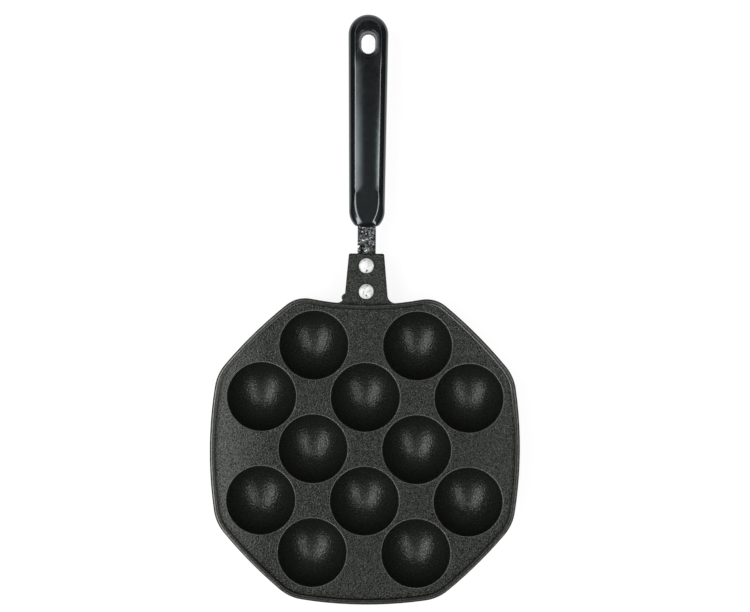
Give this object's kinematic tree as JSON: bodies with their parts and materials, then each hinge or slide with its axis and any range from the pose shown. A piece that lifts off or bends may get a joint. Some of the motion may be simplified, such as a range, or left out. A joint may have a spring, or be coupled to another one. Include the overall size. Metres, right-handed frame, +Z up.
{
  "type": "takoyaki pan",
  "caption": "Octagonal cast takoyaki pan with round cups in a low rim, and a long straight handle riveted to its tongue.",
  "frame": {"origin": "middle of the whole object's footprint, on the plane of the cups' feet", "axes": "+X to the right, +Y along the handle away from the pan, +Z up out of the cups"},
  "size_m": [0.2054, 0.3906, 0.0348],
  "materials": {
    "nonstick_casting": "matte",
    "plated_steel": "satin",
    "rivet_aluminium": "polished",
    "phenolic": "gloss"
  },
  "bodies": {
    "root": {"pan_casting": "nonstick_casting", "handle_tang": "plated_steel", "front_rivet": "rivet_aluminium", "rear_rivet": "rivet_aluminium", "handle_grip": "phenolic"}
  },
  "joints": []
}
